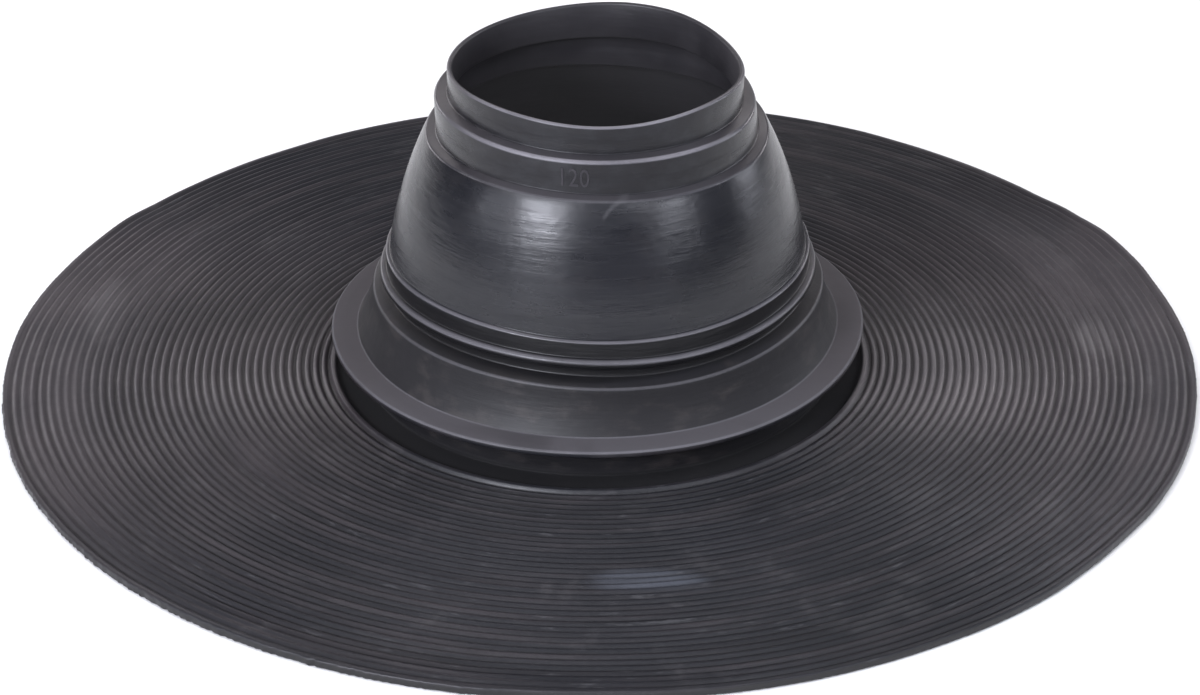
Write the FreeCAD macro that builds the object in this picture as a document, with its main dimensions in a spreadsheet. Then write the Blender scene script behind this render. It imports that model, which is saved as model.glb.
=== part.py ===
# Pipe flashing boot: one EPDM rubber moulding that seals a pipe where it
# passes through a roof.
#
# The whole boot is a body of revolution about Z, moulded as one thin wall:
# a round flange with concentric ribs on its upper side, a short neck with a
# shallow trench round its foot, a flat lip that stands out over the trench, a
# bell-shaped collar, a waist groove, two stepped cut-off ribs, a crowned dome
# and two stepped pipe collars.  The inside follows the outside, one wall
# thickness in.  The boot is open from the underside to the rim.
#
# Frame: origin at the centre of the flange's underside, +Z up along the pipe.
# Sizes are millimetres.

import FreeCAD, Part
import math
import os
import sys

import Sketcher

doc = FreeCAD.newDocument("FlashingBoot")

# ---------------------------------------------------------------- dimensions
# (alias, value, what it is)
SIZES = [
    # flange
    ("flange_rad", 230.0, "flange outer radius"),
    ("flange_thk", 3.0, "flange thickness at the rib crests"),
    ("rib_first", 105.3, "radius of the first valley between ribs"),
    ("rib_pitch", 3.273, "radial pitch of the ribs"),
    ("rib_depth", 0.9, "depth of a valley"),
    ("rib_gap", 2.3, "width of a valley at the crests"),
    # neck and trench at the foot of the boot
    ("neck_bore", 88.5, "clear radius through the flange and neck"),
    ("neck_rad", 91.0, "outer radius of the neck wall under the lip"),
    ("trench_rad", 102.3, "radius of the flange's inner edge"),
    ("trench_slope", 0.9, "run of the trench's outer side"),
    ("trench_floor", 1.8, "thickness left under the trench"),
    # lip
    ("lip_rad", 102.5, "outer radius of the lip"),
    ("lip_top", 18.4, "height of the lip's upper face"),
    ("lip_thk", 2.5, "thickness of the lip"),
    # bell-shaped collar
    ("bell_low_rad", 91.4, "outer radius at the foot of the bell"),
    ("bell_top_rad", 86.6, "outer radius at the top edge of the bell"),
    ("bell_top", 35.9, "height of the bell's top edge"),
    ("bell_curve", 36.0, "radius of the bell's hollow side"),
    ("bell_in_rad", 84.1, "inner radius at the top of the bell"),
    ("bell_in_top", 33.6, "height of that inner corner"),
    ("bell_in_low", 17.6, "height where the bell meets the neck inside"),
    # waist groove
    ("waist_rad", 80.9, "radius of the waist groove"),
    ("waist_low", 38.0, "lower end of the groove's wall"),
    ("waist_top", 41.4, "upper end of the groove's wall"),
    ("waist_bore", 78.1, "bore radius behind the waist and the ribs"),
    ("waist_in_low", 37.4, "height where that bore opens into the bell"),
    ("waist_in_top", 51.0, "height where that bore meets the dome"),
    # cut-off ribs
    ("step_two_rad", 83.4, "radius of the lower cut-off rib"),
    ("step_two_low", 42.0, "underside of the lower rib"),
    ("step_two_top", 44.5, "top edge of the lower rib"),
    ("step_one_rad", 80.9, "radius of the upper cut-off rib"),
    ("step_one_low", 45.1, "foot of the upper rib"),
    ("step_one_top", 51.9, "top edge of the upper rib"),
    # dome
    ("dome_low_rad", 78.9, "outer radius at the foot of the dome"),
    ("dome_low", 54.9, "height of the dome's foot"),
    ("dome_top_rad", 64.3, "outer radius of the dome's top edge"),
    ("dome_top", 99.9, "height of the dome's top edge"),
    ("dome_curve", 150.0, "radius of the dome's crown"),
    ("dome_wall", 2.4, "wall of the dome"),
    # larger pipe collar
    ("large_rad", 60.4, "outer radius of the larger collar"),
    ("large_bore", 58.4, "bore radius of the larger collar"),
    ("large_low", 100.7, "foot of the larger collar"),
    ("large_top", 113.5, "top edge of the larger collar"),
    ("large_in_low", 98.6, "lower end of its bore"),
    # smaller pipe collar
    ("small_rad", 55.3, "outer radius of the smaller collar"),
    ("small_bore", 53.3, "bore radius of the smaller collar"),
    ("small_low", 113.9, "foot of the smaller collar"),
    ("small_in_low", 111.8, "lower end of its bore"),
    ("rim_top", 126.8, "height of the rim at its highest"),
    # rounded edges
    ("round_rim", 0.6, "rounding of the rim"),
    ("round_edge", 0.8, "rounding of the outer edges"),
    ("round_soft", 1.6, "rounding of the bell's top edge"),
    ("round_fill", 0.7, "fillet in the inner corners of the steps"),
    ("round_neck", 1.5, "fillet under the lip"),
]

sheet = doc.addObject("Spreadsheet::Sheet", "Params")
for row, (alias, value, words) in enumerate(SIZES, start=1):
    sheet.set("A%d" % row, words)
    sheet.set("B%d" % row, str(value))
    sheet.setAlias("B%d" % row, alias)
doc.recompute()
VAL = {alias: float(sheet.get(alias)) for alias, _v, _w in SIZES}


def value_of(expression):
    """The number a size expression gives with the sheet's present values."""
    total = 0.0
    for term in expression.replace("-", "+-").split("+"):
        term = term.strip()
        if not term:
            continue
        sign = -1.0 if term.startswith("-") else 1.0
        term = term.lstrip("-").strip()
        product = 1.0
        for factor in term.split("*"):
            factor = factor.strip()
            product *= VAL[factor] if factor in VAL else float(factor)
        total += sign * product
    return total


def cell_expression(expression):
    """The same expression with every alias written as a cell of the sheet."""
    words = []
    for word in expression.replace("+", " + ").replace("-", " - ").replace("*", " * ").split():
        words.append("Params." + word if word in VAL else word)
    return " ".join(words)


def origin_plane(body, role):
    for item in body.Origin.OriginFeatures:
        if item.Role == role:
            return item
    raise RuntimeError("no origin plane " + role)


def arc_centre(start, end, radius, bulge_side):
    """Centre of the arc of this radius from start to end; bulge_side is +1
    where the arc bows away from the axis and -1 where it bows towards it."""
    (ax, ay), (bx, by) = start, end
    mx, my = (ax + bx) / 2, (ay + by) / 2
    dx, dy = bx - ax, by - ay
    half = math.hypot(dx, dy) / 2
    rise = math.sqrt(radius * radius - half * half)
    nx, ny = -dy / (2 * half), dx / (2 * half)
    if nx * bulge_side > 0:
        nx, ny = -nx, -ny
    return mx + nx * rise, my + ny * rise


# ------------------------------------------------------------- the moulding
body = doc.addObject("PartDesign::Body", "flashing_boot")
body.Label = "flashing_boot"

section = body.newObject("Sketcher::SketchObject", "wall_section")
section.AttachmentSupport = [(origin_plane(body, "XZ_Plane"), "")]
section.MapMode = "FlatFace"

# Corners of the wall's section, as (radius, height) expressions, from the
# inner edge of the underside outwards, up the outside, over the rim and down
# the inside.  A third item makes the side that leaves the corner an arc:
# (its radius, +1 when it bows outwards or -1 when it bows inwards).
CORNERS = [
    ("neck_bore", "0"),
    ("flange_rad", "0"),
    ("flange_rad", "flange_thk"),
    ("trench_rad", "flange_thk"),
    ("trench_rad - trench_slope", "trench_floor"),
    ("neck_rad", "trench_floor"),
    ("neck_rad", "lip_top - lip_thk"),
    ("lip_rad", "lip_top - lip_thk"),
    ("lip_rad", "lip_top"),
    ("bell_low_rad", "lip_top + 0.3", ("bell_curve", -1)),
    ("bell_top_rad", "bell_top"),
    ("waist_rad", "waist_low"),
    ("waist_rad", "waist_top"),
    ("step_two_rad", "step_two_low"),
    ("step_two_rad", "step_two_top"),
    ("step_one_rad", "step_one_low"),
    ("step_one_rad", "step_one_top"),
    ("dome_low_rad", "dome_low", ("dome_curve", 1)),
    ("dome_top_rad", "dome_top"),
    ("large_rad", "large_low"),
    ("large_rad", "large_top"),
    ("small_rad", "small_low"),
    ("small_rad", "rim_top"),
    ("small_bore", "rim_top"),
    ("small_bore", "small_in_low"),
    ("large_bore", "small_in_low"),
    ("large_bore", "large_in_low"),
    ("dome_top_rad - dome_wall", "large_in_low - 0.4", ("dome_curve - dome_wall", 1)),
    ("dome_low_rad - dome_wall", "dome_low"),
    ("waist_bore", "waist_in_top"),
    ("waist_bore", "waist_in_low"),
    ("bell_in_rad", "bell_in_top", ("bell_curve + neck_rad - neck_bore", -1)),
    ("neck_bore", "bell_in_low"),
]


def draw_loop(sketch, corners, prefix):
    """Adds a closed loop of lines and arcs whose corners are held to the
    sheet's sizes by named constraints."""
    points = [(value_of(item[0]), value_of(item[1])) for item in corners]
    count = len(points)
    ids = []
    ends = []                      # (start vertex, end vertex) of each side
    for i in range(count):
        start, end = points[i], points[(i + 1) % count]
        if len(corners[i]) > 2:
            radius_words, side = corners[i][2]
            radius = value_of(radius_words)
            cx, cy = arc_centre(start, end, radius, side)
            a0 = math.atan2(start[1] - cy, start[0] - cx)
            a1 = math.atan2(end[1] - cy, end[0] - cx)
            circle = Part.Circle(FreeCAD.Vector(cx, cy, 0), FreeCAD.Vector(0, 0, 1), radius)
            turn = (a1 - a0) % (2 * math.pi)
            if turn < math.pi:     # runs anticlockwise from start to end
                ids.append(sketch.addGeometry(Part.ArcOfCircle(circle, a0, a0 + turn), False))
                ends.append((1, 2))
            else:
                back = 2 * math.pi - turn
                ids.append(sketch.addGeometry(Part.ArcOfCircle(circle, a1, a1 + back), False))
                ends.append((2, 1))
        else:
            ids.append(sketch.addGeometry(Part.LineSegment(
                FreeCAD.Vector(start[0], start[1], 0), FreeCAD.Vector(end[0], end[1], 0)), False))
            ends.append((1, 2))
    for i in range(count):
        j = (i + 1) % count
        sketch.addConstraint(Sketcher.Constraint("Coincident", ids[i], ends[i][1], ids[j], ends[j][0]))
    for i in range(count):
        name = "%s%02d" % (prefix, i)
        k = sketch.addConstraint(Sketcher.Constraint(
            "DistanceX", -1, 1, ids[i], ends[i][0], points[i][0]))
        sketch.renameConstraint(k, name + "_rad")
        sketch.setExpression("Constraints." + name + "_rad", cell_expression(corners[i][0]))
        if corners[i][1] == "0":
            sketch.addConstraint(Sketcher.Constraint("PointOnObject", ids[i], ends[i][0], -1))
        else:
            k = sketch.addConstraint(Sketcher.Constraint(
                "DistanceY", -1, 1, ids[i], ends[i][0], points[i][1]))
            sketch.renameConstraint(k, name + "_height")
            sketch.setExpression("Constraints." + name + "_height", cell_expression(corners[i][1]))
        if len(corners[i]) > 2:
            k = sketch.addConstraint(Sketcher.Constraint(
                "Radius", ids[i], value_of(corners[i][2][0])))
            sketch.renameConstraint(k, name + "_curve")
            sketch.setExpression("Constraints." + name + "_curve", cell_expression(corners[i][2][0]))
    return ids


draw_loop(section, CORNERS, "wall")
doc.recompute()

wall = body.newObject("PartDesign::Revolution", "moulded_wall")
wall.Profile = section
wall.ReferenceAxis = (section, ["V_Axis"])
wall.Angle = 360.0
wall.Midplane = False
wall.Reversed = False
section.Visibility = False
body.Tip = wall
doc.recompute()
blank_volume = wall.Shape.Volume


# ------------------------------------------------------------ rounded edges
def ring_edges(shape, corners):
    """Names of the circular edges that run through these (radius, height)
    corners of the section."""
    names = []
    for wanted in corners:
        rad, height = value_of(wanted[0]), value_of(wanted[1])
        found = None
        for number, edge in enumerate(shape.Edges, start=1):
            curve = edge.Curve
            if not isinstance(curve, Part.Circle):
                continue
            if abs(curve.Axis.z) < 0.999:
                continue
            if abs(curve.Radius - rad) < 0.02 and abs(curve.Center.z - height) < 0.02:
                found = "Edge%d" % number
                break
        if found is None:
            raise RuntimeError("no edge at %s" % (wanted,))
        names.append(found)
    return names


def round_edges(name, base, corners, size):
    feature = body.newObject("PartDesign::Fillet", name)
    feature.Base = (base, ring_edges(base.Shape, corners))
    feature.Radius = VAL[size]
    feature.setExpression("Radius", "Params." + size)
    body.Tip = feature
    doc.recompute()
    if feature.Shape.isNull() or not feature.Shape.isValid():
        raise RuntimeError("the rounding failed: " + name)
    return feature


def at(*numbers):
    return [CORNERS[n] for n in numbers]


last = round_edges("bell_edge", wall, at(10), "round_soft")
last = round_edges("outer_edges", last, at(2, 3, 8, 7, 13, 14, 16, 18, 20), "round_edge")
last = round_edges("neck_fillet", last, at(6, 9), "round_neck")
last = round_edges("step_fillets", last, at(5, 12, 15, 19, 21), "round_fill")
last = round_edges("rim_round", last, at(22, 23), "round_rim")
last = round_edges("inner_corners", last, at(29, 30, 31), "round_soft")

# ------------------------------------------------- ribs on the flange's face
# The ribs are what is left between concentric valleys: every valley is one
# small triangle of the groove's sketch, one pitch further out than the last.
RIB_COUNT = 38
LIFT = 0.4                         # how far a triangle stands above the face

valleys = body.newObject("Sketcher::SketchObject", "valley_section")
valleys.AttachmentSupport = [(origin_plane(body, "XZ_Plane"), "")]
valleys.MapMode = "FlatFace"
for n in range(RIB_COUNT):
    middle = "rib_first + %d * rib_pitch" % n
    spread = 0.5 * (1.0 + LIFT / VAL["rib_depth"])
    draw_loop(valleys, [
        (middle + " - %.6f * rib_gap" % spread, "flange_thk + %.1f" % LIFT),
        (middle, "flange_thk - rib_depth"),
        (middle + " + %.6f * rib_gap" % spread, "flange_thk + %.1f" % LIFT),
    ], "v%02dc" % n)
doc.recompute()

before = last.Shape.Volume
ribs = body.newObject("PartDesign::Groove", "rib_valleys")
ribs.Profile = valleys
ribs.ReferenceAxis = (valleys, ["V_Axis"])
ribs.Angle = 360.0
valleys.Visibility = False
body.Tip = ribs
doc.recompute()
removed = before - ribs.Shape.Volume
expected = sum(2 * math.pi * (VAL["rib_first"] + n * VAL["rib_pitch"]) * 0.5 * VAL["rib_gap"] * VAL["rib_depth"]
               for n in range(RIB_COUNT))
print("blank volume %.0f mm3, valleys removed %.0f mm3, expected %.0f mm3" % (blank_volume, removed, expected))
if abs(removed - expected) > 0.02 * expected:
    raise RuntimeError("the valleys were not cut as drawn")

body.Placement = FreeCAD.Placement(FreeCAD.Vector(0, 0, 0), FreeCAD.Rotation(0, 0, 0, 1))
doc.recompute()

# ------------------------------------------------------------ check, export
bad = [o.Label for o in doc.Objects if "Invalid" in o.State or "Error" in o.State]
if bad:
    raise RuntimeError("objects failed: " + ", ".join(bad))

parts = [body]
for part in parts:
    shape = part.Shape
    if shape.isNull() or not shape.isValid() or len(shape.Solids) != 1:
        raise RuntimeError("bad shape: " + part.Label)
    box = shape.optimalBoundingBox(True, False)
    print("%s: volume %.1f cm3, box %.2f..%.2f %.2f..%.2f %.2f..%.2f, %d faces" % (
        part.Label, shape.Volume / 1000.0, box.XMin, box.XMax, box.YMin, box.YMax, box.ZMin, box.ZMax,
        len(shape.Faces)))

os.makedirs("parts", exist_ok=True)
for part in parts:
    part.Shape.exportStep("parts/%s.step" % part.Label)
sys.stdout.flush()
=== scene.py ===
"""Looks of the pipe flashing boot: one moulded rubber piece on a pale studio floor."""

import math

import bpy
import numpy as np
from mathutils import Matrix, Vector


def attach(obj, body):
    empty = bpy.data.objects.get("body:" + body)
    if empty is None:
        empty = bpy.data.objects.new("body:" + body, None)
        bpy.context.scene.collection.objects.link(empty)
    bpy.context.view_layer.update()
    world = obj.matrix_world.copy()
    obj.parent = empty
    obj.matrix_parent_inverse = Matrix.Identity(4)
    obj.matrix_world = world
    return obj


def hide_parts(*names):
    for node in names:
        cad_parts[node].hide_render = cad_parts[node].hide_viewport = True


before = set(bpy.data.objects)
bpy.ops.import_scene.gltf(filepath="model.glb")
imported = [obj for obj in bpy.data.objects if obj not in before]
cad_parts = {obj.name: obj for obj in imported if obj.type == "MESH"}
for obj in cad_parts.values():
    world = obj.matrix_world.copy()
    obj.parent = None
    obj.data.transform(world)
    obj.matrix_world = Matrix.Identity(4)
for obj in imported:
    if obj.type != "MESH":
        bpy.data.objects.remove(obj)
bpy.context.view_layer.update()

MM = 0.001
rng = np.random.default_rng(7)

# ---------------------------------------------------------------- sizes (mm)
FLANGE_R = 230.0
FLANGE_T = 3.0
RIB_FIRST = 105.3
RIB_PITCH = 3.273
RIB_COUNT = 38
RIB_DEPTH = 1.25
RIM_Z = 125.5

SEG = 240            # steps round the boot
EDGE_SEG = 4 * SEG   # finer steps round the cut outer edge

# The section's corners, anticlockwise from the hole in the flange: radius, height, size of the round.
# A fourth entry is the bulge of the wall that leads to the next corner.
OUTSIDE = [
    (104.45, 2.75, 0.3),
    (103.9, 3.45, 0.7),
    (102.35, 3.65, 0.9),
    (101.6, 1.8, 0.5),
    (91.0, 1.8, 0.7),
    (91.0, 15.9, 0.7),
    (102.5, 15.9, 0.9),
    (102.5, 18.4, 1.1),
    (92.4, 18.6, 0.8, -48.0),
    (86.6, 35.9, 1.5),
    (80.9, 38.0, 0.7),
    (80.9, 41.4, 0.5),
    (83.4, 42.0, 0.7),
    (83.4, 44.5, 1.2),
    (80.9, 45.1, 0.5),
    (80.9, 52.4, 1.4),
    (79.3, 52.9, 0.4, 150.0),
    (64.3, 99.9, 1.6),
    (60.4, 100.7, 0.7),
    (60.4, 113.5, 1.5),
    (55.3, 113.9, 0.7),
    (55.3, RIM_Z, 0.9),
]
INSIDE = [
    (53.3, RIM_Z, 0.8),
    (53.3, 111.8, 0.8),
    (58.4, 111.8, 0.7),
    (58.4, 98.6, 0.8),
    (61.9, 98.2, 0.7, 147.6),
    (76.5, 54.9, 0.8),
    (78.1, 51.0, 0.7),
    (78.1, 37.4, 0.7),
    (84.1, 33.6, 1.0, -38.5),
    (88.5, 17.6, 1.2),
    (88.5, 0.0, 0.6),
]

# How the soft walls have settled out of round: at each height, the radius and then the height,
# each as mean, cos 1, sin 1, cos 2, sin 2, cos 3, sin 3, cos 4, sin 4 of the way round (mm).
STATIONS = [
    (18.3, [0.05, -0.35, 0.06, 0.09, 0.08, -0.14, 0.14, 0.13, 0.08],
           [0.02, 0.11, -0.07, 0.25, 0.01, 0.03, -0.06, 0.38, 0.02]),
    (35.9, [-0.06, -0.05, 0.16, -0.24, -0.1, -0.03, 0.25, 0.11, 0.1],
           [0.13, 0.02, -0.23, 0.23, 0.14, 0.21, -0.26, 0.2, -0.34]),
    (44.5, [-0.05, -0.04, 0.09, -0.19, -0.16, -0.12, -0.03, 0.14, 0.15],
           [0.15, 0.0, -0.3, 0.04, 0.23, 0.31, -0.23, 0.12, -0.17]),
    (55.0, [-0.01, -0.1, -0.17, -0.21, -0.22, -0.13, -0.47, 0.21, 0.07],
           [-0.18, 0.0, 0.05, 0.09, 0.3, 0.34, -0.41, -0.18, 0.01]),
    (100.0, [0.05, -0.13, 0.31, 0.08, -0.69, -0.05, 0.06, -0.13, -0.29],
            [0.12, 0.19, -0.06, -0.13, 0.44, 0.72, 0.22, -0.21, 0.16]),
    (113.5, [-0.07, -0.41, 0.42, -0.18, -0.74, -0.41, -0.04, -0.08, -0.54],
            [0.2, -0.42, -0.21, -0.4, 0.47, 0.03, -0.09, -0.2, 0.04]),
    (125.5, [0.01, -0.18, 0.43, -0.18, -0.43, -0.16, -0.19, 0.25, -0.31],
            [0.14, -0.2, 0.05, -0.58, 0.38, -0.14, -0.5, -0.4, -0.26]),
]

# How far the flange's edge reaches past its mean radius, and how far it has lifted off the deck,
# every 6 degrees from the -X side, by way of the front (mm).
EDGE_REACH = [0.16, 0.05, -0.05, -0.01, 0.02, -0.14, -0.01, 0.32, 0.05, 0.15, 0.29, 0.26, 0.41, 0.53,
              -0.09, -0.12, 0.33, 0.85, 0.92, 0.73, 0.64, 0.92, 0.9, 0.14, -0.13, 0.48, 0.49, 0.34,
              0.12, 0.16, 0.46, 0.29, 0.34, 0.85, 0.96, 0.3, -0.97, -1.24, -1.42, -1.3, -0.59, -0.56,
              -0.58, -0.6, -0.61, -0.62, -0.62, -0.62, -0.61, -0.59, -0.62, -1.07, -0.75, -0.64,
              -0.27, 0.37, 0.21, 0.16, 0.31, 0.39]
EDGE_LIFT = [0.09, 0.02, 0.0, 0.0, 0.0, 0.11, 0.02, 0.0, 0.0, 0.0, 0.0, 0.0, 0.0, 0.0, 0.19, 0.25,
             0.0, 0.0, 0.0, 0.0, 0.0, 0.0, 0.0, 0.04, 0.14, 0.0, 0.0, 0.0, 0.0, 0.04, 0.24, 0.23,
             0.36, 1.12, 1.49, 0.55, 0.0, 0.0, 0.0, 0.0, 0.0, 0.0, 0.0, 0.0, 0.0, 0.0, 0.0, 0.0,
             0.0, 0.0, 0.0, 0.0, 0.0, 0.0, 0.02, 0.66, 0.33, 0.21, 0.33, 0.31]


# ---------------------------------------------------------------- section
def bulged(a, b, radius, steps):
    """Points from a to b along an arc of the given radius; a positive radius bulges away from the axis."""
    ax, az = a
    bx, bz = b
    mx, mz = (ax + bx) / 2, (az + bz) / 2
    dx, dz = bx - ax, bz - az
    half = math.hypot(dx, dz) / 2
    off = math.sqrt(radius * radius - half * half)
    nx, nz = -dz / (2 * half), dx / (2 * half)
    if nx > 0:
        nx, nz = -nx, -nz
    s = 1 if radius > 0 else -1
    cx, cz = mx + s * nx * off, mz + s * nz * off
    a0 = math.atan2(az - cz, ax - cx)
    a1 = math.atan2(bz - cz, bx - cx)
    turn = (a1 - a0 + math.pi) % (2 * math.pi) - math.pi
    r = abs(radius)
    return [(cx + r * math.cos(a0 + turn * i / steps), cz + r * math.sin(a0 + turn * i / steps))
            for i in range(1, steps)]


def rounded_line(corners, steps=3, span=7.0):
    """The polyline through the corners, with rounded corners, curved walls and points along the long walls."""
    raw, mark = [], {}
    for i, c in enumerate(corners):
        mark[len(raw)] = c[2]
        raw.append((c[0], c[1]))
        if len(c) > 3:
            n = corners[i + 1]
            raw += bulged((c[0], c[1]), (n[0], n[1]), c[3], 10 if abs(c[3]) > 100 else 7)
    pts = [np.array(p) for p in raw]
    out = []
    for i, p in enumerate(pts):
        if i in mark and 0 < i < len(pts) - 1:
            u = pts[i - 1] - p
            v = pts[i + 1] - p
            lu, lv = np.linalg.norm(u), np.linalg.norm(v)
            u, v = u / lu, v / lv
            turn = math.pi - math.acos(float(np.clip(u @ v, -1, 1)))
            t = min(mark[i] * math.tan(turn / 2), lu * 0.46, lv * 0.46)
            a, b = p + u * t, p + v * t
            k = 4 / 3 * math.tan(turn / 4) / max(math.tan(turn / 2), 1e-6)
            ca, cb = a + (p - a) * k, b + (p - b) * k
            for s in range(steps + 1):
                w = s / steps
                out.append((1 - w) ** 3 * a + 3 * (1 - w) ** 2 * w * ca + 3 * (1 - w) * w * w * cb + w ** 3 * b)
        else:
            out.append(p)
    full = [out[0]]
    for q in out[1:]:
        gap = np.linalg.norm(q - full[-1])
        if gap < 1e-6:
            continue
        n = int(math.ceil(gap / span))
        prev = full[-1]
        for s in range(1, n + 1):
            full.append(prev + (q - prev) * s / n)
    return full


def smoothstep(a, b, x):
    w = np.clip((x - a) / (b - a), 0, 1)
    return w * w * (3 - 2 * w)


# one valley between two ribs, from its outer side in: distance from its middle, share of the full depth
RIB_ROWS = [(1.22, 0.03), (0.64, 0.80), (0.0, 1.0), (-0.64, 0.80), (-1.22, 0.03)]

# rows: radius, height, depth share of the valley (0 away from the ribs), rib number
rows = []
# rounded top of the edge comes after the ribs; the ribs run from the edge in to the trench
edge_in = 228.9
k = RIB_COUNT - 1
rows.append((edge_in, FLANGE_T, 0.0, -1))
rows.append((228.15, FLANGE_T, 0.0, -1))
for k in range(RIB_COUNT - 1, -1, -1):
    c = RIB_FIRST + k * RIB_PITCH
    for off, share in RIB_ROWS[:3] if k == 0 else RIB_ROWS:
        rows.append((c + off, FLANGE_T, share, k))
outer_line = rounded_line([(104.75, 2.25, 0.0)] + OUTSIDE + INSIDE[:1], steps=4)[:-1]
inner_line = rounded_line([OUTSIDE[-1]] + INSIDE + [(90.5, 0.0, 0.0)], steps=2)[1:]
# the rim's own round belongs to both lines, so the two meet half way across the rim
rim_a = [i for i, p in enumerate(outer_line) if p[1] > RIM_Z - 1e-6]
rim_b = [i for i, p in enumerate(inner_line) if p[1] > RIM_Z - 1e-6]
outer_line = outer_line[: rim_a[0] + 1]
inner_line = inner_line[rim_b[-1]:]
rows += [(p[0], p[1], 0.0, -2) for p in outer_line]
rows += [(p[0], p[1], 0.0, -3) for p in inner_line]
for r in np.linspace(110.0, 228.9, 8):
    rows.append((float(r), 0.0, 0.0, -4))
n_rows = len(rows)

# how strongly each row is given a painted highlight: the small outward rounds, the rim's top and the lip's foot
edge_highlight_rows = [0.0] * n_rows
for i in range(1, n_rows - 1):
    if rows[i][3] != -2 or rows[i - 1][3] != -2:
        continue
    a = np.array([rows[i][0] - rows[i - 1][0], rows[i][1] - rows[i - 1][1]])
    b = np.array([rows[i + 1][0] - rows[i][0], rows[i + 1][1] - rows[i][1]])
    la, lb = np.linalg.norm(a), np.linalg.norm(b)
    if max(la, lb) > 1.6:
        continue
    turn = math.asin(float(np.clip((a[0] * b[1] - a[1] * b[0]) / (la * lb), -1, 1)))
    if turn > 0.12:
        edge_highlight_rows[i] = 1.0 if rows[i][1] > RIM_Z - 0.6 else 0.45 if 33.0 < rows[i][1] < 37.0 else 0.5 if 96.0 < rows[i][1] < 101.0 else 1.0
    elif rows[i][1] > RIM_Z - 0.05:
        edge_highlight_rows[i] = 0.8
    elif turn < -0.12 and 18.0 < rows[i][1] < 19.6 and rows[i][0] > 91.0:
        edge_highlight_rows[i] = 0.7

# edge rows at the finer step: down round the outside from the top to the underside
edge_rows = [(229.45, 2.98), (229.78, 2.72), (229.86, 2.2), (229.86, 0.55), (229.7, 0.12), (229.2, 0.0)]

theta = -np.pi + 2 * np.pi * np.arange(SEG) / SEG
theta_e = -np.pi + 2 * np.pi * np.arange(EDGE_SEG) / EDGE_SEG


# ---------------------------------------------------------------- how it has settled
def fourier(c, t):
    out = np.full_like(t, c[0])
    for n in range(1, 5):
        out = out + c[2 * n - 1] * np.cos(n * t) + c[2 * n] * np.sin(n * t)
    return out


def station_warp(t, z):
    """Radius and height change (mm) of the boot's wall at the angles t and height z."""
    zs = [s[0] for s in STATIONS]
    zc = min(max(z, zs[0]), zs[-1])
    i = max(0, min(len(zs) - 2, int(np.searchsorted(zs, zc)) - 1))
    w = (zc - zs[i]) / (zs[i + 1] - zs[i])
    w = w * w * (3 - 2 * w)
    out = []
    for part in (1, 2):
        out.append((1 - w) * fourier(STATIONS[i][part], t) + w * fourier(STATIONS[i + 1][part], t))
    return out


def around(values, t):
    """A table every 6 degrees from -180, read smoothly at the angles t."""
    v = np.array(values)
    x = (t + np.pi) / (2 * np.pi) * len(v)
    i = np.floor(x).astype(int)
    w = x - i
    w = w * w * (3 - 2 * w)
    return v[i % len(v)] * (1 - w) + v[(i + 1) % len(v)] * w


def ripple(t, r, seed, waves, size):
    """Slow swells of the sheet: a few waves round and across, the same on every run."""
    g = np.random.default_rng(seed)
    out = np.zeros_like(t)
    for _ in range(waves):
        n = g.integers(2, 9)
        m = g.uniform(0.012, 0.05)
        out += np.cos(n * t + g.uniform(0, 6.28)) * np.cos(m * r + g.uniform(0, 6.28))
    return size * out / math.sqrt(waves)


# where the ribs have been moulded shallow: angle, its half width, radius, its half width (deg, mm), share lost
FAINT = [
    (-176, 26, 206, 12, 0.62),
    (-150, 22, 218, 7, 0.55),
    (-118, 20, 224, 5, 0.6),
    (-172, 30, 222, 6, 0.6),
    (-5, 26, 216, 9, 0.6),
    (-97, 14, 224, 5, 0.8),
    (-135, 26, 206, 4, 0.35),
    (160, 30, 196, 14, 0.45),
    (-150, 16, 150, 12, 0.4),
    (25, 30, 200, 16, 0.4),
]


def rib_share(t, r, k):
    """How much of the full valley depth rib valley k has at the angles t."""
    lost = np.zeros_like(t)
    deg = np.degrees(t)
    for a, aw, c, cw, share in FAINT:
        da = (deg - a + 180) % 360 - 180
        lost = np.maximum(lost, share * np.exp(-(da / aw) ** 2) * math.exp(-((r - c) / cw) ** 2))
    g = np.random.default_rng(100 + k)
    wob = 0.0
    for n in (1, 2, 3, 5):
        wob = wob + g.uniform(-1, 1) * np.cos(n * t + g.uniform(0, 6.28)) / n
    return np.clip((1 - lost) * (1 + 0.10 * wob), 0.06, 1.0)


def settle(t, r0, z0, valley, kind):
    """The place (mm) of a row of points, out of its true round."""
    r = np.full_like(t, r0)
    z = np.full_like(t, z0)
    if kind == "edge" or r0 > 101.0 and z0 < 5.0:
        if valley > 0:
            z = z - RIB_DEPTH * valley * rib_share(t, r0, kind)
        w = smoothstep(165.0, 229.0, r0) ** 1.5
        wr = smoothstep(195.0, 229.0, r0)
        swell = 0.28 * (1 + ripple(t, r0, 11, 7, 0.55)) * smoothstep(112.0, 150.0, r0)
        z = z + around(EDGE_LIFT, t) * w + np.maximum(swell, 0)
        r = r + around(EDGE_REACH, t) * wr
    else:
        dr, dz = station_warp(t, z0)
        fade = smoothstep(1.8, 15.0, z0)
        if kind == -4:
            fade = 0.0
        g = ripple(t, z0 * 1.6 + 40, 23, 6, 0.055)
        r = r + (dr + g) * fade
        z = z + dz * fade * smoothstep(6.0, 18.0, z0)
    return r, z


def place(t, r, z):
    x, y = r * np.cos(t), r * np.sin(t)
    lim = FLANGE_R - 0.08
    s = np.minimum(1.0, lim / np.maximum(np.maximum(abs(x), abs(y)), 1e-9))
    return np.stack([x * s, y * s, np.clip(z, 0.0, 126.7)], 1) * MM


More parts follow.
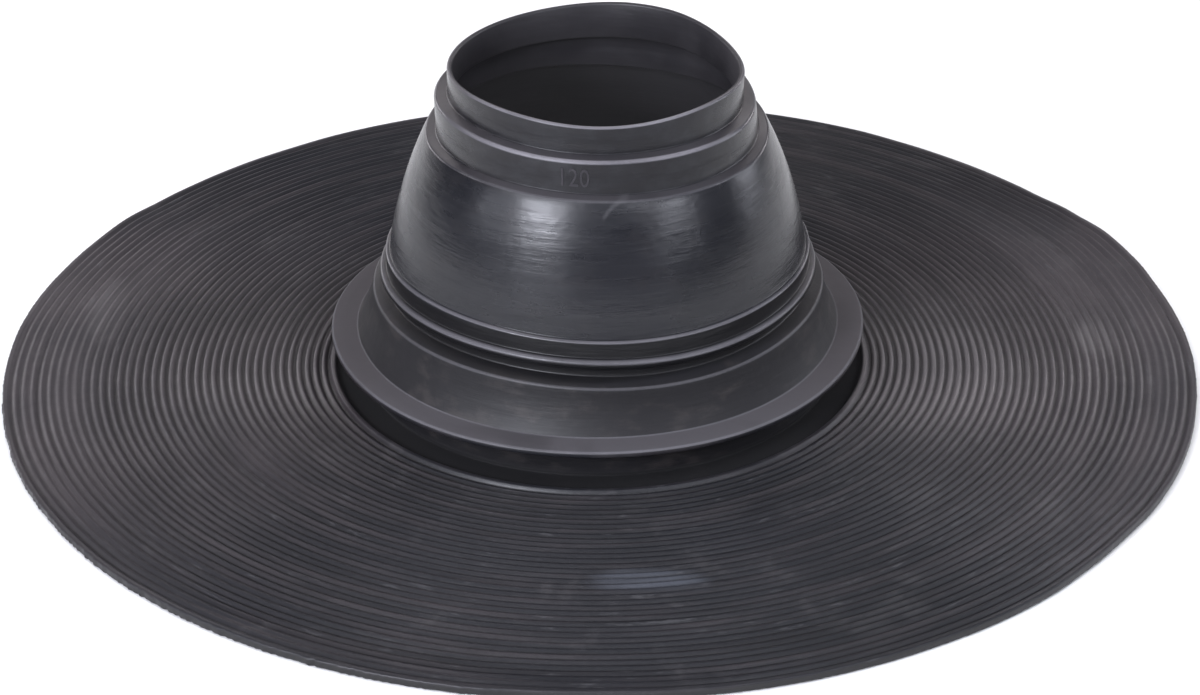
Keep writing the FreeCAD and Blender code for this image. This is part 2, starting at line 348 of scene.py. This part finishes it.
verts = []
for r0, z0, valley, k in rows:
    r, z = settle(theta, r0, z0, valley, k)
    verts.append(place(theta, r, z))
tooth_rng = np.random.default_rng(5)
deg_e = np.degrees(theta_e)
rough_edge = 0.10 + 0.30 * smoothstep(-178, -165, deg_e) * (1 - smoothstep(-112, -92, deg_e))
teeth = (np.where(np.arange(EDGE_SEG) % 2, 1.0, -1.0) * tooth_rng.uniform(0.1, 1.0, EDGE_SEG)
         + tooth_rng.uniform(-0.7, 0.7, EDGE_SEG)) * rough_edge * 0.8
for r0, z0 in edge_rows:
    r, z = settle(theta_e, r0, z0, 0.0, "edge")
    depth = smoothstep(229.1, 229.8, r0)
    r = r + (teeth - 0.12) * depth
    verts.append(place(theta_e, r, z))
points = np.concatenate(verts)

faces, mats = [], []
RIBBED, SMOOTH = 0, 1


def ring(i):
    return i * SEG


def quad_band(a, b, n, mat):
    """Quads between two rings of n points that start at a and b."""
    for j in range(n):
        q = (j + 1) % n
        faces.append((a + j, b + j, b + q, a + q))
        mats.append(mat)


for i in range(n_rows - 1):
    smooth_row = rows[i][3] in (-2, -3) or rows[i + 1][3] in (-2,)
    quad_band(ring(i), ring(i + 1), SEG, SMOOTH if (smooth_row and rows[i + 1][0] < 102.4) else RIBBED)
e0 = n_rows * SEG
for i in range(len(edge_rows) - 1):
    quad_band(e0 + (i + 1) * EDGE_SEG, e0 + i * EDGE_SEG, EDGE_SEG, RIBBED)


def fan_band(coarse, fine, flip):
    """Triangles between a ring of SEG points and one of EDGE_SEG points."""
    for j in range(SEG):
        a, b = coarse + j, coarse + (j + 1) % SEG
        f = [fine + (4 * j + s) % EDGE_SEG for s in range(5)]
        tris = [(a, f[0], f[1]), (a, f[1], f[2]), (a, f[2], b), (b, f[2], f[3]), (b, f[3], f[4])]
        for t in tris:
            faces.append(t[::-1] if flip else t)
            mats.append(RIBBED)


fan_band(ring(0), e0, True)
fan_band(ring(n_rows - 1), e0 + (len(edge_rows) - 1) * EDGE_SEG, False)


def signed_volume(p, fs):
    v = 0.0
    for f in fs:
        a = p[f[0]]
        for i in range(1, len(f) - 1):
            v += float(np.dot(a, np.cross(p[f[i]], p[f[i + 1]])))
    return v / 6


tri = []
for f in faces:
    for i in range(1, len(f) - 1):
        tri.append((f[0], f[i], f[i + 1]))
tri = np.array(tri)
vol = float(np.einsum("ij,ij->i", points[tri[:, 0]], np.cross(points[tri[:, 1]], points[tri[:, 2]])).sum() / 6)
if vol < 0:
    faces = [f[::-1] for f in faces]
print("triangles", len(tri), "volume cm3", round(abs(vol) * 1e6, 1), "rows", n_rows)

mesh = bpy.data.meshes.new("flashing_boot_rubber")
mesh.from_pydata(points.tolist(), [], faces)
mesh.polygons.foreach_set("material_index", np.array(mats, dtype=np.int32))
mesh.polygons.foreach_set("use_smooth", np.ones(len(faces), dtype=bool))
mesh.update()
# the strength of the painted edge highlight at each point of the boot
painted_edge_highlight = mesh.attributes.new("painted_edge_highlight", "FLOAT", "POINT")
painted_edge_highlight.data.foreach_set("value", np.concatenate([np.repeat(edge_highlight_rows, SEG), np.zeros(len(edge_rows) * EDGE_SEG)]).astype(np.float32))
boot = bpy.data.objects.new("flashing_boot_rubber", mesh)
bpy.context.scene.collection.objects.link(boot)


# ---------------------------------------------------------------- materials
class Nodes:
    """Short ways to build a node tree."""

    def __init__(self, name):
        self.mat = bpy.data.materials.new(name)
        self.mat.use_nodes = True
        self.t = self.mat.node_tree
        self.t.nodes.clear()
        self.out = self.t.nodes.new("ShaderNodeOutputMaterial")
        self.bsdf = self.t.nodes.new("ShaderNodeBsdfPrincipled")
        self.t.links.new(self.bsdf.outputs["BSDF"], self.out.inputs["Surface"])

    def link(self, a, b):
        self.t.links.new(a, b)

    def feed(self, socket, v):
        if isinstance(v, (int, float)):
            socket.default_value = v
        elif isinstance(v, (tuple, list)):
            socket.default_value = v
        else:
            self.link(v, socket)

    def coords(self):
        return self.t.nodes.new("ShaderNodeTexCoord").outputs["Object"]

    def math(self, op, a, b=0.0, c=0.0, clamp=False):
        n = self.t.nodes.new("ShaderNodeMath")
        n.operation = op
        n.use_clamp = clamp
        self.feed(n.inputs[0], a)
        self.feed(n.inputs[1], b)
        self.feed(n.inputs[2], c)
        return n.outputs[0]

    def split(self, v):
        n = self.t.nodes.new("ShaderNodeSeparateXYZ")
        self.link(v, n.inputs[0])
        return n.outputs

    def join(self, x, y, z):
        n = self.t.nodes.new("ShaderNodeCombineXYZ")
        for s, v in zip(n.inputs, (x, y, z)):
            self.feed(s, v)
        return n.outputs[0]

    def noise(self, vec, scale, detail=3.0, rough=0.55, distort=0.0):
        n = self.t.nodes.new("ShaderNodeTexNoise")
        self.link(vec, n.inputs["Vector"])
        n.inputs["Scale"].default_value = scale
        n.inputs["Detail"].default_value = detail
        n.inputs["Roughness"].default_value = rough
        n.inputs["Distortion"].default_value = distort
        return n.outputs["Fac"]

    def ramp(self, v, a, b, lo=0.0, hi=1.0):
        n = self.t.nodes.new("ShaderNodeMapRange")
        n.interpolation_type = "SMOOTHSTEP"
        self.feed(n.inputs[0], v)
        for s, w in zip((1, 2, 3, 4), (a, b, lo, hi)):
            self.feed(n.inputs[s], w)
        return n.outputs[0]

    def mix(self, f, a, b):
        n = self.t.nodes.new("ShaderNodeMix")
        n.data_type = "RGBA"
        self.feed(n.inputs["Factor"], f)
        for s, v in (("A", a), ("B", b)):
            sock = [i for i in n.inputs if i.name == s and i.type == "RGBA"][0]
            if isinstance(v, tuple):
                sock.default_value = (v[0], v[1], v[2], 1.0)
            else:
                self.link(v, sock)
        return [o for o in n.outputs if o.type == "RGBA"][0]

    def bump(self, height, distance, strength=1.0, under=None):
        n = self.t.nodes.new("ShaderNodeBump")
        n.inputs["Strength"].default_value = strength
        n.inputs["Distance"].default_value = distance
        self.link(height, n.inputs["Height"])
        if under is not None:
            self.link(under, n.inputs["Normal"])
        return n.outputs[0]


def ribbed_rubber():
    m = Nodes("ribbed_rubber")
    p = m.coords()
    x, y, z = m.split(p)
    rad = m.math("SQRT", m.math("ADD", m.math("MULTIPLY", x, x), m.math("MULTIPLY", y, y)))
    unit_x = m.math("DIVIDE", x, m.math("MAXIMUM", rad, 0.001))
    unit_y = m.math("DIVIDE", y, m.math("MAXIMUM", rad, 0.001))
    # stretched round the flange: streaks that follow the ribs
    along = m.join(m.math("MULTIPLY", unit_x, 0.9), m.math("MULTIPLY", unit_y, 0.9), m.math("MULTIPLY", rad, 90.0))
    streak = m.noise(along, 2.2, 4.0, 0.6)
    cloud = m.noise(p, 13.0, 3.0, 0.5)
    blot = m.noise(p, 34.0, 4.0, 0.6, 0.4)
    speck = m.noise(p, 260.0, 3.0, 0.7)

    tint = m.mix(m.ramp(cloud, 0.36, 0.66), (0.0310, 0.0262, 0.0305), (0.0225, 0.0205, 0.0245))
    # painted light and shade: paler and warmer at the two sides, where the ribs catch the light, than at the front and
    # back
    tint = m.mix(m.ramp(m.math("ABSOLUTE", unit_x), 0.60, 0.98), m.mix(m.ramp(cloud, 0.36, 0.66), (0.0160, 0.0163, 0.0200), (0.0115, 0.0120, 0.0150)), tint)
    # each rib has its own tone, and short pale scuffs run along some of them
    per_rib = m.noise(m.join(m.math("MULTIPLY", unit_x, 1.3), m.math("MULTIPLY", unit_y, 1.3), m.math("MULTIPLY", rad, 330.0)), 1.0, 3.0, 0.6)
    tint = m.mix(m.math("MULTIPLY", m.ramp(per_rib, 0.30, 0.48, 1.0, 0.0), 0.55), tint, (0.0085, 0.0080, 0.0100))
    scuff = m.noise(m.join(m.math("MULTIPLY", unit_x, 8.0), m.math("MULTIPLY", unit_y, 8.0), m.math("MULTIPLY", rad, 420.0)), 1.3, 4.0, 0.7)
    tint = m.mix(m.math("MULTIPLY", m.ramp(streak, 0.45, 0.72), 0.55), tint, (0.043, 0.037, 0.041))
    # painted shade: the valleys between the ribs are darkened, so the crests stand paler
    crest = m.ramp(z, 0.0018, 0.0030)
    tint = m.mix(m.math("MULTIPLY", m.math("SUBTRACT", 1.0, crest), 0.80), tint, (0.0035, 0.0032, 0.0038))
    tint = m.mix(m.math("MULTIPLY", m.math("MULTIPLY", m.ramp(scuff, 0.60, 0.72), crest), 0.42), tint, (0.082, 0.081, 0.088))
    chalk = m.math("MULTIPLY", m.ramp(blot, 0.56, 0.74), crest)
    tint = m.mix(m.math("MULTIPLY", chalk, 0.35), tint, (0.070, 0.066, 0.070))
    # a painted glint on the crests at the front, and chalky patches on the right and the left

    def patch(cx, cy, rx, ry):
        dx = m.math("DIVIDE", m.math("SUBTRACT", x, cx * MM), rx * MM)
        dy = m.math("DIVIDE", m.math("SUBTRACT", y, cy * MM), ry * MM)
        d = m.math("SQRT", m.math("ADD", m.math("MULTIPLY", dx, dx), m.math("MULTIPLY", dy, dy)))
        return m.ramp(m.math("ADD", d, m.math("MULTIPLY", m.math("SUBTRACT", blot, 0.5), 0.9)), 0.35, 1.0, 1.0, 0.0)

    # painted glint: a bluish highlight on the crests at the front
    painted_glint = m.math("MULTIPLY", patch(17.0, -163.0, 27.0, 10.0), m.math("MULTIPLY", crest, m.ramp(per_rib, 0.36, 0.56, 0.35, 1.0)))
    tint = m.mix(m.math("MULTIPLY", painted_glint, 0.66), tint, (0.070, 0.077, 0.097))
    chalky = m.math("MULTIPLY", m.math("MAXIMUM", patch(194.0, 8.0, 11.0, 20.0), patch(-196.0, 36.0, 9.0, 30.0)),
                    m.math("MULTIPLY", crest, m.ramp(per_rib, 0.36, 0.56, 0.2, 1.0)))
    tint = m.mix(m.math("MULTIPLY", chalky, 0.7), tint, (0.078, 0.073, 0.077))
    # painted sheen: broad paler patches on the crests at the right and, fainter, at the left
    painted_side_sheen = m.math("MULTIPLY", m.math("MAXIMUM", patch(126.0, -20.0, 60.0, 60.0), m.math("MULTIPLY", patch(-140.0, -8.0, 62.0, 46.0), 0.35)), crest)
    tint = m.mix(m.math("MULTIPLY", painted_side_sheen, 0.9), tint, (0.078, 0.071, 0.075))
    m.link(tint, m.bsdf.inputs["Base Color"])
    rough = m.math("ADD", 0.42, m.math("MULTIPLY", m.math("SUBTRACT", cloud, 0.5), 0.30))
    rough = m.math("ADD", rough, m.math("MULTIPLY", m.math("SUBTRACT", speck, 0.5), 0.16))
    m.link(rough, m.bsdf.inputs["Roughness"])
    h = m.math("MULTIPLY", speck, 0.00006)
    h = m.math("ADD", h, m.math("MULTIPLY", streak, 0.00028))
    m.link(m.bump(h, 1.0), m.bsdf.inputs["Normal"])
    m.bsdf.inputs["Specular IOR Level"].default_value = 0.5
    m.bsdf.inputs["IOR"].default_value = 1.5
    return m.mat


def smooth_rubber(name="smooth_rubber", raised=False):
    m = Nodes(name)
    p = m.coords()
    x, y, z = m.split(p)
    rad = m.math("SQRT", m.math("ADD", m.math("MULTIPLY", x, x), m.math("MULTIPLY", y, y)))
    unit_x = m.math("DIVIDE", x, m.math("MAXIMUM", rad, 0.001))
    unit_y = m.math("DIVIDE", y, m.math("MAXIMUM", rad, 0.001))
    # stretched round the wall: the faint drawn lines of the mould
    along = m.join(m.math("MULTIPLY", unit_x, 1.6), m.math("MULTIPLY", unit_y, 1.6), m.math("MULTIPLY", z, 260.0))
    streak = m.noise(along, 1.6, 4.0, 0.65)
    long_streak = m.noise(along, 0.7, 3.0, 0.5)
    cloud = m.noise(p, 22.0, 4.0, 0.55, 0.3)
    speck = m.noise(p, 240.0, 3.0, 0.65)
    tint = m.mix(m.ramp(cloud, 0.35, 0.68), (0.0090, 0.0096, 0.0126), (0.0144, 0.0148, 0.0186))
    tint = m.mix(m.math("MULTIPLY", m.ramp(streak, 0.5, 0.78), 0.5), tint, (0.026, 0.026, 0.030))
    # the bell is darker than the dome, and browner
    tint = m.mix(m.ramp(z, 0.034, 0.042, 0.6, 0.0), tint, (0.0075, 0.0064, 0.0072))
    mottle = m.noise(m.join(m.math("MULTIPLY", unit_x, 6.0), m.math("MULTIPLY", unit_y, 6.0), m.math("MULTIPLY", z, 130.0)), 1.0, 4.0, 0.6)
    dust = m.math("MULTIPLY", m.ramp(mottle, 0.50, 0.70), m.ramp(z, 0.034, 0.042, 0.6, 0.12))
    tint = m.mix(dust, tint, (0.036, 0.031, 0.031))
    # the collars are the darkest
    tint = m.mix(m.math("MULTIPLY", m.ramp(z, 0.0985, 0.1015, 0.0, 0.75), m.ramp(mottle, 0.42, 0.66, 1.0, 0.15)), tint, (0.0050, 0.0042, 0.0060))
    if raised:
        tint = m.mix(m.ramp(cloud, 0.30, 0.60, 0.5, 0.9), tint, (0.034, 0.031, 0.037))
    # painted shade: the grooves of the waist and the trench below the lip are darkened near black
    groove = m.math("MULTIPLY", m.ramp(z, 0.0365, 0.0375), m.ramp(z, 0.0515, 0.0525, 1.0, 0.0))
    low = m.ramp(z, 0.0026, 0.0034, 1.0, 0.0)
    tint = m.mix(m.math("MAXIMUM", m.math("MULTIPLY", groove, 0.85), m.math("MULTIPLY", low, 0.85)), tint, (0.0040, 0.0038, 0.0046))
    # painted light: the faces that look up, on the lip and the collars' ledges, are paler, most at the front
    geo = m.t.nodes.new("ShaderNodeNewGeometry")
    look_up = m.split(geo.outputs["Normal"])[2]
    painted_top_light = m.math("MULTIPLY", m.ramp(look_up, 0.80, 0.97), m.ramp(cloud, 0.32, 0.62, 0.72, 1.12))
    painted_top_light = m.math("MULTIPLY", painted_top_light, m.math("ADD", m.ramp(z, 0.0190, 0.0200, 1.0, 0.0), m.ramp(z, 0.0960, 0.0980, 0.0, 0.55)))
    painted_top_light = m.math("MULTIPLY", painted_top_light, m.ramp(z, 0.0150, 0.0165))
    tint = m.mix(painted_top_light, tint, m.mix(m.ramp(unit_y, -0.95, -0.3, 1.0, 0.0), (0.050, 0.0455, 0.0500), (0.064, 0.0605, 0.0680)))
    # painted highlight: the outer rounds are painted pale, strongest at the front and palest on the collars' front
    edge_highlight_attr = m.t.nodes.new("ShaderNodeAttribute")
    edge_highlight_attr.attribute_name = "painted_edge_highlight"
    edge_highlight_mask = m.math("MULTIPLY", edge_highlight_attr.outputs["Fac"], m.ramp(look_up, 0.0, 0.35))
    edge_highlight_mask = m.math("MULTIPLY", edge_highlight_mask, m.ramp(cloud, 0.32, 0.60, 0.6, 1.0))
    edge_highlight_mask = m.math("MULTIPLY", edge_highlight_mask, m.ramp(unit_y, -0.95, -0.2, 1.0, 0.5))
    tint = m.mix(edge_highlight_mask, tint, m.mix(m.math("MULTIPLY", m.ramp(z, 0.1015, 0.1100), m.ramp(unit_y, -0.98, -0.35, 1.0, 0.0)), (0.104, 0.101, 0.113), (0.190, 0.183, 0.204)))
    # the faces that look inward are duller and paler
    nx, ny, nz = m.split(geo.outputs["Normal"])
    facing_in = m.math("MULTIPLY", m.math("ADD", m.math("MULTIPLY", nx, unit_x), m.math("MULTIPLY", ny, unit_y)), -1.0)
    inside = m.math("MULTIPLY", m.ramp(facing_in, 0.15, 0.5), m.ramp(cloud, 0.30, 0.66, 0.55, 1.0))
    tint = m.mix(inside, tint, (0.038, 0.0360, 0.0400))
    # rub marks on the dome's front
    front = m.math("LESS_THAN", y, 0.0)

    def rub(cx, cz, radius, x0, x1, z0, z1):
        dx = m.math("SUBTRACT", x, cx * MM)
        dz = m.math("SUBTRACT", z, cz * MM)
        d = m.math("SQRT", m.math("ADD", m.math("MULTIPLY", dx, dx), m.math("MULTIPLY", dz, dz)))
        off = m.math("ABSOLUTE", m.math("SUBTRACT", m.math("ADD", d, m.math("MULTIPLY", cloud, 0.0016)), (radius + 0.8) * MM))
        line = m.ramp(off, 0.0001, 0.0011, 1.0, 0.0)
        for v, lo, hi in ((x, x0, x1), (z, z0, z1)):
            line = m.math("MULTIPLY", line, m.ramp(v, (lo - 1.5) * MM, (lo + 1.5) * MM))
            line = m.math("MULTIPLY", line, m.ramp(v, (hi - 1.5) * MM, (hi + 1.5) * MM, 1.0, 0.0))
        return m.math("MULTIPLY", line, front)

    rubbed = m.math("MAXIMUM", rub(12.0, 89.7, 10.9, 0.0, 11.0, 94.5, 101.0),
                    m.math("MULTIPLY", rub(-2.0, 84.0, 38.2, 31.0, 42.0, 82.0, 96.0), 0.2))
    tint = m.mix(m.math("MULTIPLY", rubbed, 0.32), tint, (0.105, 0.103, 0.112))
    m.link(tint, m.bsdf.inputs["Base Color"])
    rough = m.math("ADD", 0.27, m.math("MULTIPLY", m.math("SUBTRACT", cloud, 0.5), 0.20))
    rough = m.math("ADD", rough, m.math("MULTIPLY", m.math("SUBTRACT", long_streak, 0.5), 0.16))
    rough = m.math("ADD", rough, m.math("MULTIPLY", painted_top_light, 0.20))
    rough = m.math("ADD", rough, m.math("MULTIPLY", inside, 0.22))
    rough = m.math("ADD", rough, m.math("ADD", m.math("MULTIPLY", low, 0.35), m.math("MULTIPLY", groove, 0.08)))
    # the bell is duller than the dome
    rough = m.math("ADD", rough, m.ramp(z, 0.034, 0.042, 0.26, 0.0))
    # and so is the front of the two collars
    rough = m.math("ADD", rough, m.math("MULTIPLY", m.ramp(z, 0.0985, 0.1015), m.ramp(unit_y, -0.98, -0.60, 0.20, 0.0)))
    m.link(rough, m.bsdf.inputs["Roughness"])
    h = m.math("MULTIPLY", speck, 0.00004)
    h = m.math("ADD", h, m.math("MULTIPLY", streak, 0.00012))
    h = m.math("ADD", h, m.math("MULTIPLY", cloud, 0.0007))
    m.link(m.bump(h, 1.0), m.bsdf.inputs["Normal"])
    m.bsdf.inputs["Specular IOR Level"].default_value = 0.5
    m.bsdf.inputs["IOR"].default_value = 1.5
    return m.mat


ribbed = ribbed_rubber()
smooth = smooth_rubber()
mesh.materials.append(ribbed)
mesh.materials.append(smooth)


# ---------------------------------------------------------------- the plain size number on the larger collar
def collar_number(text, height, angle, z_mid, radius, proud):
    curve = bpy.data.curves.new("collar_number", "FONT")
    curve.body = text
    curve.size = height * 1.38
    curve.space_character = 1.05
    curve.extrude = 0.5 * MM
    curve.resolution_u = 3
    tmp = bpy.data.objects.new("collar_number_text", curve)
    bpy.context.scene.collection.objects.link(tmp)
    bpy.context.view_layer.update()
    m = bpy.data.meshes.new_from_object(tmp.evaluated_get(bpy.context.evaluated_depsgraph_get()))
    bpy.data.objects.remove(tmp)
    co = np.zeros(len(m.vertices) * 3)
    m.vertices.foreach_get("co", co)
    co = co.reshape(-1, 3)
    cx = (co[:, 0].min() + co[:, 0].max()) / 2
    cy = (co[:, 1].min() + co[:, 1].max()) / 2
    sy = height / (co[:, 1].max() - co[:, 1].min())
    depth = co[:, 2]
    top, bottom = depth.max(), depth.min()
    a = angle + (co[:, 0] - cx) * 0.78 / radius
    zz = z_mid + (co[:, 1] - cy) * sy
    _dr, _dz = station_warp(a, z_mid / MM)
    rr = radius + _dr * MM - 0.6 * MM + (depth - bottom) / (top - bottom) * (0.6 * MM + proud)
    new = np.stack([rr * np.cos(a), rr * np.sin(a), zz + _dz * MM], 1)
    m.vertices.foreach_set("co", new.astype(np.float32).ravel())
    m.polygons.foreach_set("use_smooth", np.zeros(len(m.polygons), dtype=bool))
    m.update()
    m.materials.clear()
    m.materials.append(smooth_rubber("raised_rubber", True))
    ob = bpy.data.objects.new("collar_number", m)
    bpy.context.scene.collection.objects.link(ob)
    return ob


number = collar_number("120", 7.2 * MM, math.radians(-97.6), 107.0 * MM, 60.4 * MM, 0.22 * MM)

for piece in (boot, number):
    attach(piece, "root")
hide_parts("flashing_boot")


# ---------------------------------------------------------------- floor, light, camera
def floor_material():
    m = Nodes("studio_floor")
    p = m.coords()
    c = m.noise(p, 3.0, 2.0, 0.5)
    col = m.mix(m.ramp(c, 0.3, 0.7), (0.86, 0.86, 0.86), (0.88, 0.88, 0.88))
    m.link(col, m.bsdf.inputs["Base Color"])
    m.bsdf.inputs["Roughness"].default_value = 0.9
    m.bsdf.inputs["Specular IOR Level"].default_value = 0.1
    return m.mat


fm = bpy.data.meshes.new("studio_floor")
S = 6.0
fm.from_pydata([(-S, -S, 0), (S, -S, 0), (S, S, 0), (-S, S, 0)], [], [(0, 1, 2, 3)])
fm.update()
floor = bpy.data.objects.new("studio_floor", fm)
floor.location = (0, 0, -0.0002)
bpy.context.scene.collection.objects.link(floor)
fm.materials.append(floor_material())


def softbox(name, at, aim, width, height, radiance, color=(1, 1, 1)):
    d = bpy.data.lights.new(name, "AREA")
    d.shape = "RECTANGLE"
    d.size = width
    d.size_y = height
    d.energy = radiance * width * height * math.pi
    d.color = color
    o = bpy.data.objects.new(name, d)
    o.location = at
    o.rotation_euler = (Vector(at) - Vector(aim)).to_track_quat("Z", "Y").to_euler()
    o.visible_camera = False
    bpy.context.scene.collection.objects.link(o)
    return o


def around_at(azimuth, elevation, distance):
    """A place seen from the boot at that compass angle from +Y (towards +X) and height angle."""
    a, e = math.radians(azimuth), math.radians(elevation)
    return (distance * math.sin(a) * math.cos(e), distance * math.cos(a) * math.cos(e),
            0.09 + distance * math.sin(e))


# a tent of soft panels round the table: compass angle, height angle, width, height, brightness
PANELS = [
    (-150, 4, 0.75, 0.24, 1.5),
    (-30, 4, 0.75, 0.24, 2.4),
    (80, 5, 0.60, 0.24, 2.3),
    (-135, 13, 0.58, 0.24, 3.4),
    (-112, 14, 0.58, 0.30, 3.2),
    (-45, 13, 0.58, 0.24, 4.6),
    (45, 13, 0.58, 0.24, 6.5),
    (74, 12, 0.58, 0.28, 5.0),
    (135, 14, 0.58, 0.24, 2.0),
    (180, 27, 0.56, 0.50, 0.9),
    (-156, 26, 0.56, 0.48, 4.1),
    (-145, 22, 0.56, 0.28, 27.0),
    (0, 24, 0.40, 0.50, 0.5),
    (18, 27, 0.42, 0.30, 4.0),
    (-18, 27, 0.42, 0.30, 3.2),
    (132, 23, 0.46, 0.24, 10.5),
    (-128, 31, 0.58, 0.25, 3.8),
    (-78, 31, 0.58, 0.30, 3.4),
    (80, 33, 0.60, 0.34, 4.6),
    (154, 32, 0.58, 0.30, 4.0),
    (-145, 42, 0.80, 0.34, 4.4),
    (140, 56, 0.62, 0.38, 2.8),
    (180, 60, 1.50, 0.26, 1.0),
    (-60, 73, 0.50, 0.40, 2.6),
]
for i, (az, el, w_, h_, rad_) in enumerate(PANELS):
    softbox("panel_%02d" % i, around_at(az, el, 1.6), (0, 0, 0.09), w_, h_, rad_,
            (0.88, 0.90, 1.0) if abs(az) > 100 or 60 < az < 100 else (1.0, 0.95, 0.99))
top = softbox("top_light", (0.0, 0.08, 2.29), (0, 0, 0.09), 3.2, 3.2, 1.60)
top.visible_glossy = False

world = bpy.data.worlds.new("studio_air")
bpy.context.scene.world = world
world.use_nodes = True
bg = world.node_tree.nodes["Background"]
bg.inputs[0].default_value = (0.95, 0.96, 1.0, 1.0)
bg.inputs[1].default_value = 0.02

# camera
yaw, pitch, roll = -0.00109427, 0.509288, -0.00906462
fwd = Vector((math.sin(yaw) * math.cos(pitch), math.cos(yaw) * math.cos(pitch), -math.sin(pitch)))
right = Vector((math.cos(yaw), -math.sin(yaw), 0.0))
up = right.cross(fwd)
r2 = right * math.cos(roll) + up * math.sin(roll)
u2 = -right * math.sin(roll) + up * math.cos(roll)
cam_data = bpy.data.cameras.new("camera")
cam_data.lens = 98.433
cam_data.sensor_width = 36.0
cam_data.sensor_fit = "HORIZONTAL"
cam_data.clip_start = 0.05
cam_data.clip_end = 50.0
cam = bpy.data.objects.new("camera", cam_data)
bpy.context.scene.collection.objects.link(cam)
m4 = Matrix.Identity(4)
for i in range(3):
    m4[i][0], m4[i][1], m4[i][2] = r2[i], u2[i], -fwd[i]
m4.translation = Vector((0.00159, -1.11509, 0.62743))
cam.matrix_world = m4
bpy.context.scene.camera = cam

bpy.context.scene.view_settings.view_transform = "Standard"
bpy.context.scene.view_settings.look = "None"
